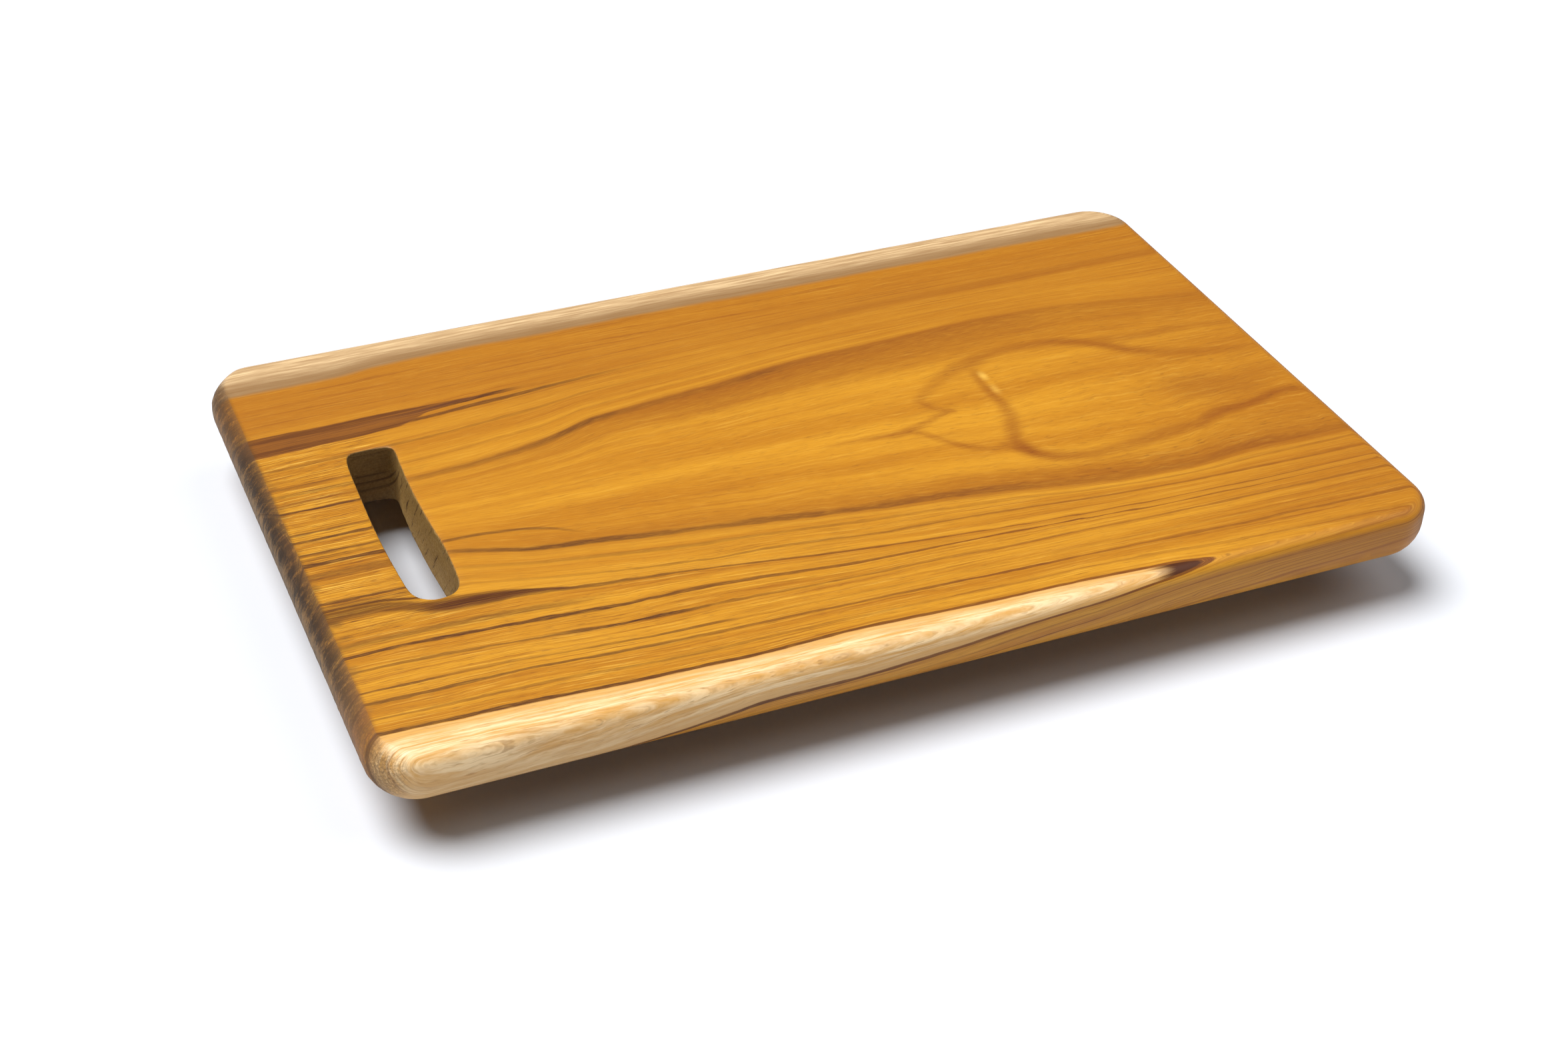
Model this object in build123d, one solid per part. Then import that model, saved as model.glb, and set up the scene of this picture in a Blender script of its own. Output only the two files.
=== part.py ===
from build123d import *
import os

# Cutting board: one flat-sawn teak plank with a hand slot, standing on four rubber feet.
# Each foot is a tapered bumper with a steel washer moulded into it, held by one wood screw.
# Frame: origin on the table under the middle of the board, +X along the grain and away from
# the hand slot, +Y across the board, +Z up. Sizes are in millimetres.

# ---- Plank ----
BOARD_LENGTH = 400.0
BOARD_WIDTH = 250.0
BOARD_THICKNESS = 24.0
CORNER_RADIUS = 18.0
TOP_EDGE_RADIUS = 5.0
BOTTOM_EDGE_RADIUS = 14.0

# ---- Hand slot, cut through the plank near its -X end ----
SLOT_LENGTH = 96.0
SLOT_WIDTH = 20.0
SLOT_END_MARGIN = 35.0
SLOT_CORNER_RADIUS = 6.5
SLOT_SIDE_BOW = 1.4
SLOT_END_BOW = 1.6
SLOT_TOP_EASE = 0.6
SLOT_BOTTOM_EASE = 1.5

# ---- Rubber foot: a tapered bumper with a recess for the screw head ----
FOOT_HEIGHT = 16.0
FOOT_TOP_RADIUS = 12.5
FOOT_BASE_RADIUS = 10.5
FOOT_BASE_ROUND = 1.0
FOOT_INSET_X = 38.0
FOOT_INSET_Y = 45.0
RECESS_RADIUS = 5.5
RECESS_DEPTH = 10.5

# ---- Steel washer, moulded into the rubber at the top of the recess ----
WASHER_RADIUS = 8.0
WASHER_THICKNESS = 1.2
SCREW_CLEARANCE_RADIUS = 2.3

# ---- Pan-head wood screw ----
SCREW_LENGTH = 20.0
SCREW_HEAD_RADIUS = 4.2
SCREW_HEAD_HEIGHT = 2.8
SCREW_HEAD_ROUND = 1.6
THREAD_CREST_RADIUS = 2.1
THREAD_ROOT_RADIUS = 1.5
THREAD_PITCH = 1.6
THREAD_CREST_FLAT = 0.25
THREAD_COUNT = 8
TIP_LENGTH = 3.0
DRIVE_SPAN = 4.6
DRIVE_WIDTH = 1.1
DRIVE_DEPTH = 1.7

# ---- Pilot hole in the plank ----
PILOT_EXTRA_DEPTH = 1.0

PLANK_BOTTOM = FOOT_HEIGHT
PLANK_TOP = PLANK_BOTTOM + BOARD_THICKNESS
SLOT_CENTRE_X = -BOARD_LENGTH / 2 + SLOT_END_MARGIN + SLOT_WIDTH / 2
SCREW_SEAT = RECESS_DEPTH
SCREW_TIP = SCREW_SEAT + SCREW_LENGTH
FOOT_X = BOARD_LENGTH / 2 - FOOT_INSET_X
FOOT_Y = BOARD_WIDTH / 2 - FOOT_INSET_Y

# Each foot's place in plan, by the corner it stands under.
FOOT_PLACES = {
    "slot_front": (-FOOT_X, -FOOT_Y),
    "slot_back": (-FOOT_X, FOOT_Y),
    "plain_front": (FOOT_X, -FOOT_Y),
    "plain_back": (FOOT_X, FOOT_Y),
}


def slot_plan():
    """Plan of the hand slot: sides and ends bow outwards a little, and its corners are round."""
    side = SLOT_WIDTH / 2
    end = SLOT_LENGTH / 2
    corner_x = side - SLOT_SIDE_BOW
    corner_y = end - SLOT_END_BOW
    outline = [
        ThreePointArc((corner_x, -corner_y), (side, 0), (corner_x, corner_y)),
        ThreePointArc((corner_x, corner_y), (0, end), (-corner_x, corner_y)),
        ThreePointArc((-corner_x, corner_y), (-side, 0), (-corner_x, -corner_y)),
        ThreePointArc((-corner_x, -corner_y), (0, -end), (corner_x, -corner_y)),
    ]
    face = make_face(outline)
    return fillet(face.vertices(), SLOT_CORNER_RADIUS)


def edges_in_slot(body, height):
    """The slot's edges that lie at one height."""
    reach = SLOT_LENGTH / 2
    middle = Vector(SLOT_CENTRE_X, 0, height)
    level = body.edges().filter_by_position(Axis.Z, height, height)
    return level.filter_by(lambda edge: (edge.center() - middle).length < reach)


def pilot_hole(place):
    """Blind hole in the underside for one screw, with a drill point at its end."""
    x, y = place
    bottom = PLANK_BOTTOM
    straight_top = SCREW_TIP - TIP_LENGTH + PILOT_EXTRA_DEPTH
    profile = make_face(
        Polyline(
            (0, bottom),
            (THREAD_CREST_RADIUS, bottom),
            (THREAD_CREST_RADIUS, straight_top),
            (0, straight_top + TIP_LENGTH),
            close=True,
        )
    )
    return Pos(x, y) * revolve(Plane.XZ * profile, Axis.Z)


def plank():
    """Solid plank with round corners, soft edges, the hand slot and four pilot holes."""
    plan = RectangleRounded(BOARD_LENGTH, BOARD_WIDTH, CORNER_RADIUS)
    body = Pos(0, 0, PLANK_BOTTOM) * extrude(plan, BOARD_THICKNESS)
    body = fillet(body.faces().sort_by(Axis.Z)[-1].edges(), TOP_EDGE_RADIUS)
    body = fillet(body.faces().sort_by(Axis.Z)[0].edges(), BOTTOM_EDGE_RADIUS)
    body -= Pos(SLOT_CENTRE_X, 0, PLANK_BOTTOM) * extrude(slot_plan(), BOARD_THICKNESS)
    body = fillet(edges_in_slot(body, PLANK_TOP), SLOT_TOP_EASE)
    body = fillet(edges_in_slot(body, PLANK_BOTTOM), SLOT_BOTTOM_EASE)
    for place in FOOT_PLACES.values():
        body -= pilot_hole(place)
    return body


def washer():
    """Flat steel washer that the screw head bears on."""
    ring = Circle(WASHER_RADIUS) - Circle(SCREW_CLEARANCE_RADIUS)
    return Pos(0, 0, SCREW_SEAT) * extrude(ring, WASHER_THICKNESS)


def rubber_foot():
    """Tapered rubber bumper, with the screw recess below and the washer's seat inside."""
    cone = Cone(
        FOOT_BASE_RADIUS,
        FOOT_TOP_RADIUS,
        FOOT_HEIGHT,
        align=(Align.CENTER, Align.CENTER, Align.MIN),
    )
    body = fillet(cone.edges().sort_by(Axis.Z)[0], FOOT_BASE_ROUND)
    body -= extrude(Circle(RECESS_RADIUS), RECESS_DEPTH)
    body -= Pos(0, 0, SCREW_SEAT) * extrude(Circle(WASHER_RADIUS), WASHER_THICKNESS)
    body -= extrude(Circle(SCREW_CLEARANCE_RADIUS), FOOT_HEIGHT)
    return body


def thread_outline():
    """Half section of the screw's shank from its tip down to the seat: tip, threads, neck."""
    points = [(0, SCREW_TIP), (THREAD_ROOT_RADIUS, SCREW_TIP - TIP_LENGTH)]
    top = SCREW_TIP - TIP_LENGTH
    half_flat = THREAD_CREST_FLAT / 2
    for turn in range(THREAD_COUNT):
        crest = top - (turn + 0.5) * THREAD_PITCH
        points.append((THREAD_CREST_RADIUS, crest + half_flat))
        points.append((THREAD_CREST_RADIUS, crest - half_flat))
        points.append((THREAD_ROOT_RADIUS, top - (turn + 1) * THREAD_PITCH))
    points.append((THREAD_ROOT_RADIUS, SCREW_SEAT))
    points.append((0, SCREW_SEAT))
    return points


def screw():
    """Pan-head wood screw, head down in the foot's recess, with a cross drive."""
    shank = revolve(Plane.XZ * make_face(Polyline(*thread_outline(), close=True)), Axis.Z)
    head = Pos(0, 0, SCREW_SEAT - SCREW_HEAD_HEIGHT) * extrude(
        Circle(SCREW_HEAD_RADIUS), SCREW_HEAD_HEIGHT
    )
    head = fillet(head.edges().sort_by(Axis.Z)[0], SCREW_HEAD_ROUND)
    drive = Rectangle(DRIVE_SPAN, DRIVE_WIDTH) + Rectangle(DRIVE_WIDTH, DRIVE_SPAN)
    pocket = Pos(0, 0, SCREW_SEAT - SCREW_HEAD_HEIGHT) * extrude(drive, DRIVE_DEPTH)
    return shank + head - pocket


def main():
    os.makedirs("parts", exist_ok=True)
    export_step(plank(), "parts/plank.step")
    hardware = {"foot": rubber_foot(), "washer": washer(), "screw": screw()}
    for corner, (x, y) in FOOT_PLACES.items():
        for name, shape in hardware.items():
            export_step(Pos(x, y) * shape, f"parts/{name}_{corner}.step")


main()
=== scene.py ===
"""Looks for the cutting board: a flat-sawn teak plank with a hand slot, on four screwed rubber feet."""

import math

import bpy
import numpy as np
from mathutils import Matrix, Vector, noise
from mathutils.geometry import delaunay_2d_cdt


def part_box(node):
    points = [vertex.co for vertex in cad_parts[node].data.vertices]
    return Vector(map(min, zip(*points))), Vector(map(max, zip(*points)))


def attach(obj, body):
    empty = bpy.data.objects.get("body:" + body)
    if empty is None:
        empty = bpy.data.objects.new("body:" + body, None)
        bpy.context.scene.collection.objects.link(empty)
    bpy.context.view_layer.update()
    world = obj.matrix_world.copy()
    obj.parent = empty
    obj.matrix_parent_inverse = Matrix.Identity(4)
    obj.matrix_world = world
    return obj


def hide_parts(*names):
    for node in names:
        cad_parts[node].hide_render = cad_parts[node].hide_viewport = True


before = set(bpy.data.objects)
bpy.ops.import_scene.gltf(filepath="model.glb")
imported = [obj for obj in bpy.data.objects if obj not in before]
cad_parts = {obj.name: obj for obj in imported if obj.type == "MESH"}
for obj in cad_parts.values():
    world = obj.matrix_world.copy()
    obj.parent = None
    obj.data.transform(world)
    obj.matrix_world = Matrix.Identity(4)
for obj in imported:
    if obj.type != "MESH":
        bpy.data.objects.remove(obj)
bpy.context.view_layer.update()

MM = 0.001
PLANK_LOW, PLANK_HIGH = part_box("plank")

# ---- Plank, in millimetres ----
HALF_LENGTH = (PLANK_HIGH.x - PLANK_LOW.x) / 2 / MM
HALF_WIDTH = (PLANK_HIGH.y - PLANK_LOW.y) / 2 / MM
TOP = PLANK_HIGH.z / MM
BOTTOM = PLANK_LOW.z / MM
CORNER_RADIUS = 18.0
TOP_ROUND = 5.0
BOTTOM_ROUND = 14.0
END_ROUND = 9.5
END_KINK = math.radians(24)
ARRIS_JITTER = 0.6
END_TEAR = 0.3
TOP_STEPS = 8
BOTTOM_STEPS = 9
OUTLINE_STEP = 1.6
CORNER_STEPS = 16
TOP_SPACING = 2.0
UNDERSIDE_SPACING = 4.5
WAVE_DEPTH = 0.14
WAVE_REACH = 10.0
HOLE_REACH = 6.0
GRAIN_SMOOTHING = 9.0

# ---- Hand slot: points of its hand-cut outline, from the middle of the slot ----
SLOT_CENTRE_X = -HALF_LENGTH + 45.0
SLOT_POINTS = [
    (-10.4, 4), (-10.4, -14), (-9.8, -31), (-9.1, -39.5), (-7.3, -43.8), (-4.2, -46.2), (-0.5, -47),
    (4.4, -45.8), (7.4, -42.2), (8.5, -36), (9.1, -19), (8.3, 0), (8.2, 20), (8.8, 36), (9.3, 44.3),
    (8.2, 47.8), (5, 49), (-2, 49.3), (-6.2, 48.6), (-8.2, 45.6), (-9.2, 38), (-9.9, 20),
]
SLOT_SAMPLES = 10
SLOT_TOP_EASE = 0.6
SLOT_BOTTOM_EASE = 1.5
SLOT_WALL_ROWS = 15
SAW_DEPTH = 0.32

# ---- Pilot holes for the screws ----
PILOT_RADIUS = 2.1
PILOT_TOP = 28.5
PILOT_TIP = 31.5
PILOT_SIDES = 20

# ---- Growth rings: circles about a pith that lies below the top, as (x, depth) ----
PITH = [(-200, 50), (-128, 52), (-69, 116), (-54, 121), (6, 137), (63, 222), (107, 380), (200, 600)]

# Rings as they cross the top: the ring's own number, then points (x, y) along the plank.
RINGS = [
    (-125, [(-200, -125), (0, -127), (110, -128), (200, -131)]),
    (-109, [(-200, -108), (-187, -108.2), (-150, -109.8), (-110, -112.2), (-70, -113.4), (-30, -112.8),
            (10, -115.2), (60, -116.6), (90, -118.5), (107, -121.5), (150, -124), (200, -127)]),
    (-93.4, [(-200, -93.2), (-170, -93.6), (-140, -93.3), (-120, -95.7), (-90, -98), (-30, -100),
             (0, -101.5), (60, -103.5), (120, -107), (160, -108), (200, -109.5)]),
    (-76, [(-200, -76), (-180, -76), (-160, -77.3), (-130, -80), (-105, -82.5), (-70, -84),
           (-40, -85.5), (20, -88.3), (60, -90.5), (100, -92), (200, -94)]),
    (-67.4, [(-200, -68), (-170, -67), (-150, -68.5), (-110, -71.5), (-100, -73), (-70, -72.8),
             (-50, -74.7), (-20, -78.6), (0, -80), (60, -82.5), (100, -86), (140, -87.5), (200, -88)]),
    (-54.5, [(-200, -54), (-128, -54.5), (-110, -57), (-80, -61), (-50, -66), (-20, -71), (10, -75),
             (60, -80.8), (100, -83.5), (140, -85), (200, -86)]),
    (-41, [(-200, -40), (-146, -42), (-110, -51), (-80, -57), (-60, -59.5), (-45, -60), (-20, -63),
           (0, -66), (20, -67.5), (60, -71), (80, -73.5), (120, -77), (200, -79)]),
    (-22, [(-200, -22), (-166, -22.3), (-145, -23), (-130, -27), (-120, -31), (-100, -34.3),
           (-80, -38), (-60, -40.5), (-40, -44.5), (-20, -48), (20, -53), (60, -59), (80, -63.5),
           (100, -66.5), (130, -68), (150, -65.5), (200, -66)]),
    (0, [(-200, 0.3), (0, 0), (200, 0)]),
    (24, [(-200, 24), (-166, 24.5), (-146, 25.5), (-120, 27), (-100, 30.3), (-90, 32), (-80, 36),
          (-71, 40), (-60, 41.2), (-40, 43.3), (-20, 45), (0, 48.3), (20, 50.6), (60, 52), (80, 53.2),
          (100, 54), (130, 52.5), (157, 48.5), (176, 44.5), (200, 41)]),
    (63, [(-200, 63), (-160, 64.5), (-130, 66), (-100, 69), (-50, 72), (0, 74), (60, 76), (200, 75)]),
    (88, [(-200, 88), (-50, 89.5), (200, 90)]),
    (101, [(-200, 101), (-150, 101.5), (-140, 103.5), (-100, 105.5), (60, 105), (200, 104)]),
    (125, [(-200, 125), (200, 125)]),
]

# Soft strokes of the figure's closed end on the top, as points (x, y, reach, strength).
STROKES = [
    [(60, -3.4, 1.8, 0.8), (54, 0, 2.1, 0.7), (52, 3.8, 2.2, 0.7), (50, 7.6, 2.6, 0.45),
     (56, 12.4, 3.2, 0.4), (65, 18.7, 4.2, 0.5), (74, 23.9, 5.2, 0.65), (83, 26.7, 5.6, 0.85),
     (89, 28.9, 4.4, 0.8), (101, 30, 4, 0.8), (115, 29.2, 4, 0.9), (124, 27, 4, 1.05),
     (132, 23.2, 4, 1), (139, 18.2, 4, 1.05), (146, 12, 4, 0.9), (157, 6, 4, 0.65), (170, 2, 4, 0.5),
     (185, -2, 3.5, 0.35), (200, -4, 3.5, 0.3)],
    [(128, 25, 3.4, 0.7), (147, 21.1, 3.6, 0.6), (157, 20.2, 3.4, 0.65), (168, 20.8, 3.4, 0.65),
     (178, 20.7, 3.2, 0.45), (200, 16, 3, 0.4)],
    [(60, -3.4, 1.6, 0.8), (52, -4.8, 1.8, 0.75), (45, -8, 2.4, 0.6), (38, -10.3, 3, 1),
     (32, -10.9, 2.6, 0.95), (27, -10.5, 2, 0.85), (18, -9.6, 1.8, 0.6), (8, -9.3, 1.6, 0.5),
     (0, -9.6, 1.4, 0)],
    [(38, -10.3, 2.6, 0.9), (43, -14.5, 2.2, 0.65), (47, -20, 2, 0.6), (50, -23.9, 2.2, 0.8),
     (54, -27.7, 2.2, 0.85), (61, -31.6, 2.2, 0.6), (68, -33.1, 3, 0.65)],
    [(80, 22, 3.4, 0.4), (79, 11.7, 2.6, 0.75), (79, 2.9, 2.6, 0.8), (80, -5.1, 3.2, 0.75),
     (79, -13.1, 4.2, 0.7), (76, -21.6, 4.2, 0.75), (73, -28.9, 4.2, 0.85), (72, -33.3, 4.8, 1.05)],
    [(68, -31.7, 3, 0.7), (73, -35.5, 4.6, 1.35), (76, -40.7, 4.4, 1.25), (81, -44.4, 4.4, 1),
     (88, -47, 4.4, 0.9), (97, -48.7, 4.8, 0.8), (107, -48.6, 5.2, 0.7), (117, -47.5, 5.8, 0.75),
     (128, -46, 5.8, 0.75), (138, -45.2, 4.4, 0.8), (145, -45, 4, 0.85), (150, -41.6, 4, 1),
     (156, -39.7, 4, 1.15), (164, -39.4, 3.4, 1.15), (173, -38.4, 3, 1.15), (183, -35.3, 3, 1.1),
     (190, -35.4, 3.2, 0.9), (200, -38, 3.4, 0.65)],
    [(140, -16, 8, 0.2), (150, -18, 11, 0.5), (162, -22, 13, 0.6), (174, -26, 11, 0.5),
     (188, -20, 9, 0.3)],
]

# ---- Colours, linear ----
GOLD = (0.51, 0.208, 0.010)
GOLD_LIGHT = (0.63, 0.30, 0.022)
GOLD_PALE = (0.80, 0.48, 0.085)
GOLD_DEEP = (0.37, 0.130, 0.009)
HAIR_BROWN = (0.17, 0.048, 0.005)
RED_BROWN = (0.25, 0.070, 0.007)
LINE_BROWN = (0.070, 0.018, 0.004)
# Dark saw marks in the slot, and painted shade at the slot's far end.
GOUGE_AND_SHADE_BROWN = (0.020, 0.007, 0.003)
STREAK_BROWN = (0.11, 0.033, 0.008)
STREAK_LIGHT = (0.22, 0.075, 0.012)
SAP_CREAM = (0.92, 0.68, 0.38)
SAP_PEACH = (0.68, 0.36, 0.095)
SAP_BROWN = (0.40, 0.20, 0.06)
# Painted shade for the lower part of the near edge.
SAP_PAINTED_SHADE = (0.50, 0.32, 0.145)
SAP_GREY = (0.42, 0.255, 0.12)
SAP_SHADE = (0.24, 0.125, 0.045)
END_GREY = (0.10, 0.052, 0.022)
END_BROWN = (0.17, 0.080, 0.022)
END_TAN = (0.20, 0.130, 0.060)
END_BLACK = (0.010, 0.006, 0.004)
SLOT_OLIVE = (0.24, 0.135, 0.030)
SLOT_TAN = (0.48, 0.31, 0.11)
RUBBER_BLACK = (0.018, 0.017, 0.017)
RUBBER_DUST = (0.12, 0.11, 0.10)
FLOOR_WHITE = (0.68, 0.70, 0.74)


def smoothstep(value, low, high):
    """0 below low, 1 above high, and smooth between."""
    t = np.clip((value - low) / (high - low), 0, 1)
    return t * t * (3 - 2 * t)


def closed_spline(points, samples):
    """Smooth closed line through the points, with that many samples from each point to the next."""
    p = np.array(points, float)
    before, after, after_next = np.roll(p, 1, 0), np.roll(p, -1, 0), np.roll(p, -2, 0)
    out = []
    for t in np.arange(samples) / samples:
        out.append(
            0.5 * (2 * p + (after - before) * t
                   + (2 * before - 5 * p + 4 * after - after_next) * t * t
                   + (3 * p - before - 3 * after + after_next) * t ** 3)
        )
    return np.stack(out, 1).reshape(-1, 2)


def inside(polygon, points):
    """Which of the points lie inside the closed polygon."""
    x, y = points[:, 0], points[:, 1]
    hit = np.zeros(len(points), bool)
    for (ax, ay), (bx, by) in zip(polygon, np.roll(polygon, -1, 0)):
        if ay != by:
            cross = (ay > y) != (by > y)
            hit ^= cross & (x < ax + (y - ay) * (bx - ax) / (by - ay))
    return hit


def signed_distance(polygon, points):
    """Distance from the points to the closed polygon's line, negative inside it."""
    best = np.full(len(points), 1e9)
    for a, b in zip(polygon, np.roll(polygon, -1, 0)):
        along = b - a
        t = np.clip(((points - a) @ along) / max(along @ along, 1e-9), 0, 1)
        best = np.minimum(best, np.linalg.norm(points - a - t[:, None] * along, axis=1))
    return np.where(inside(polygon, points), -best, best)


# ---- Plank shape ----
def outline():
    """The plank's plan: points on its outer edge and the outward normal at each, anticlockwise."""
    straight_x, straight_y = HALF_LENGTH - CORNER_RADIUS, HALF_WIDTH - CORNER_RADIUS
    corners = [(1, 1, 0), (-1, 1, 90), (-1, -1, 180), (1, -1, 270)]
    places, normals = [], []
    for index, (sign_x, sign_y, start) in enumerate(corners):
        centre = np.array([sign_x * straight_x, sign_y * straight_y])
        for step in range(CORNER_STEPS + 1):
            angle = math.radians(start + 90 * step / CORNER_STEPS)
            normals.append((math.cos(angle), math.sin(angle)))
            places.append(centre + CORNER_RADIUS * np.array(normals[-1]))
        run = 2 * (straight_x if index % 2 == 0 else straight_y)
        normal = np.array(normals[-1])
        heading = np.array([-normal[1], normal[0]])
        start_place = places[-1]
        steps = round(run / OUTLINE_STEP)
        for step in range(1, steps):
            places.append(start_place + heading * run * step / steps)
            normals.append(tuple(normal))
    return np.array(places), np.array(normals)


def edge_profile(normals, places):
    """Rows of (inset, height) down the plank's edge for each outline point. The slot end was cut with a
    larger round that meets the top at a crisp arris; the other edges are soft."""
    slot_end = smoothstep(-normals[:, 0], 0.25, 0.95)
    kink = END_KINK * slot_end
    radius = TOP_ROUND + (END_ROUND - TOP_ROUND) * slot_end
    wander = np.array([noise.noise(Vector((y * 0.07, 4.0, 0))) for y in places[:, 1]])
    radius = radius + ARRIS_JITTER * slot_end * wander
    rows = []
    for step in range(TOP_STEPS + 1):
        angle = kink + (math.pi / 2 - kink) * step / TOP_STEPS
        rows.append([radius * (1 - np.sin(angle)), TOP - radius * (np.cos(kink) - np.cos(angle))])
    for step in range(BOTTOM_STEPS + 1):
        angle = math.pi / 2 * (1 - step / BOTTOM_STEPS)
        inset = BOTTOM_ROUND * (1 - math.sin(angle))
        height = BOTTOM + BOTTOM_ROUND * (1 - math.cos(angle))
        rows.append([np.full(len(places), inset), np.full(len(places), height)])
    for index in range(1, len(rows) - 1):
        row_height = rows[index][1].mean()
        torn = np.array([noise.noise(Vector((y * 0.45, row_height * 0.5, 9))) for y in places[:, 1]])
        rows[index][0] = rows[index][0] + END_TEAR * slot_end * (0.5 + 0.5 * np.clip(torn, -1, 1))
    return rows, kink


def slot_rows():
    """Rows of the slot's wall from the top down: its eased edges and its rough-sawn face."""
    line = closed_spline(SLOT_POINTS, SLOT_SAMPLES) + (SLOT_CENTRE_X, 0)
    ahead, behind = np.roll(line, -1, 0), np.roll(line, 1, 0)
    heading = ahead - behind
    heading /= np.linalg.norm(heading, axis=1)[:, None]
    outward = np.stack([heading[:, 1], -heading[:, 0]], 1)
    travel = np.cumsum(np.linalg.norm(ahead - line, axis=1))
    rows = []
    for angle in (0, 30, 60):
        turn = math.radians(angle)
        rows.append((SLOT_TOP_EASE * (1 - math.sin(turn)), TOP - SLOT_TOP_EASE * (1 - math.cos(turn)), 0.0))
    high, low = TOP - SLOT_TOP_EASE, BOTTOM + SLOT_BOTTOM_EASE
    for row in range(SLOT_WALL_ROWS):
        rows.append((0.0, high + (low - high) * row / (SLOT_WALL_ROWS - 1), 1.0))
    for angle in (60, 30, 0):
        turn = math.radians(angle)
        rows.append((SLOT_BOTTOM_EASE * (1 - math.sin(turn)),
                     BOTTOM + SLOT_BOTTOM_EASE * (1 - math.cos(turn)), 0.0))
    out = []
    for inset, height, rough in rows:
        shift = []
        for along in travel:
            slant = along + 0.7 * height
            cut = noise.noise(Vector((slant * 0.55, height * 0.08, 7)))
            tear = noise.noise(Vector((along * 0.9, height * 0.5, 11)))
            shift.append(SAW_DEPTH * rough * (0.75 * cut + 0.35 * tear))
        place = line + outward * (inset + np.array(shift))[:, None]
        out.append(np.column_stack([place, np.full(len(line), height)]))
    return out


def fill(loops, spacing, keep):
    """Triangles between closed loops, over a grid of points. keep says how far inside a point is."""
    rows = np.arange(-HALF_WIDTH, HALF_WIDTH, spacing * math.sqrt(3) / 2)
    grid = []
    for index, y in enumerate(rows):
        xs = np.arange(-HALF_LENGTH, HALF_LENGTH, spacing) + (index % 2) * spacing / 2
        grid.append(np.column_stack([xs, np.full(len(xs), y)]))
    grid = np.vstack(grid)
    grid = grid[keep(grid) > spacing * 0.6]
    points = np.vstack(loops + [grid])
    edges, start = [], 0
    for loop in loops:
        count = len(loop)
        edges += [(start + i, start + (i + 1) % count) for i in range(count)]
        start += count
    made = delaunay_2d_cdt([Vector(p) for p in points], edges, [], 0, 1e-5, True)
    triangles = np.array(made[2])
    first = np.array([ids[0] for ids in made[3]])
    triangles = first[triangles]
    corners = points[triangles]
    triangles = triangles[keep(corners.mean(1)) > 0]
    corners = points[triangles]
    side_a, side_b = corners[:, 1] - corners[:, 0], corners[:, 2] - corners[:, 0]
    down = side_a[:, 0] * side_b[:, 1] - side_a[:, 1] * side_b[:, 0] < 0
    triangles[down] = triangles[down][:, ::-1]
    return grid, triangles


def rounded_inset(points, inset):
    """How far inside the plank's outline the points are, less the inset."""
    q = np.abs(points) - (HALF_LENGTH - CORNER_RADIUS, HALF_WIDTH - CORNER_RADIUS)
    outside = np.linalg.norm(np.maximum(q, 0), axis=1) + np.minimum(q.max(1), 0)
    return CORNER_RADIUS - outside - inset


def clear_of(points, depth, holes):
    """The smaller of a point's depth and its distance from each hole, negative inside a hole."""
    depth = depth.copy()
    for hole in holes:
        low, high = hole.min(0) - HOLE_REACH, hole.max(0) + HOLE_REACH
        near = ((points > low) & (points < high)).all(1)
        if near.any():
            depth[near] = np.minimum(depth[near], signed_distance(hole, points[near]))
    return depth


class Shell:
    """Collects rings of vertices and the faces between them."""

    def __init__(self):
        self.vertices = []
        self.faces = []

    def add(self, places):
        start = len(self.vertices)
        self.vertices += [tuple(p) for p in places]
        return np.arange(start, start + len(places))

    def wall(self, upper, lower, flip=False):
        count = len(upper)
        for i in range(count):
            j = (i + 1) % count
            face = (upper[i], lower[i], lower[j], upper[j])
            self.faces.append(face[::-1] if flip else face)

    def cover(self, loops, grid_ids, triangles, flip=False):
        ids = np.concatenate(loops + [grid_ids])
        for triangle in ids[triangles]:
            self.faces.append(tuple(triangle[::-1] if flip else triangle))


def pilot_centres():
    """Where the screws go into the underside, from the CAD's screws."""
    names = sorted(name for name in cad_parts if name.startswith("screw_"))
    boxes = [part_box(name) for name in names]
    return [((low.x + high.x) / 2 / MM, (low.y + high.y) / 2 / MM) for low, high in boxes]


def add_outer_edge(shell):
    """The plank's edge from the top's arris to the underside. Returns its rings and the arris's kink."""
    places, normals = outline()
    rows, kink = edge_profile(normals, places)
    rings = []
    for inset, height in rows:
        ring = places - normals * inset[:, None]
        rings.append(shell.add(np.column_stack([ring, height])))
    for upper, lower in zip(rings, rings[1:]):
        shell.wall(upper, lower)
    return rings, kink


def add_pilot_holes(shell):
    """Blind holes with a drill point. Returns the loops on the underside."""
    loops = []
    for x, y in pilot_centres():
        angles = 2 * math.pi * np.arange(PILOT_SIDES) / PILOT_SIDES
        circle = np.column_stack([x + PILOT_RADIUS * np.cos(angles), y + PILOT_RADIUS * np.sin(angles)])
        low = shell.add(np.column_stack([circle, np.full(PILOT_SIDES, BOTTOM)]))
        high = shell.add(np.column_stack([circle, np.full(PILOT_SIDES, PILOT_TOP)]))
        tip = shell.add([(x, y, PILOT_TIP)])[0]
        shell.wall(high, low, flip=True)
        for i in range(PILOT_SIDES):
            shell.faces.append((high[i], high[(i + 1) % PILOT_SIDES], tip)[::-1])
        loops.append(low)
    return loops


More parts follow.
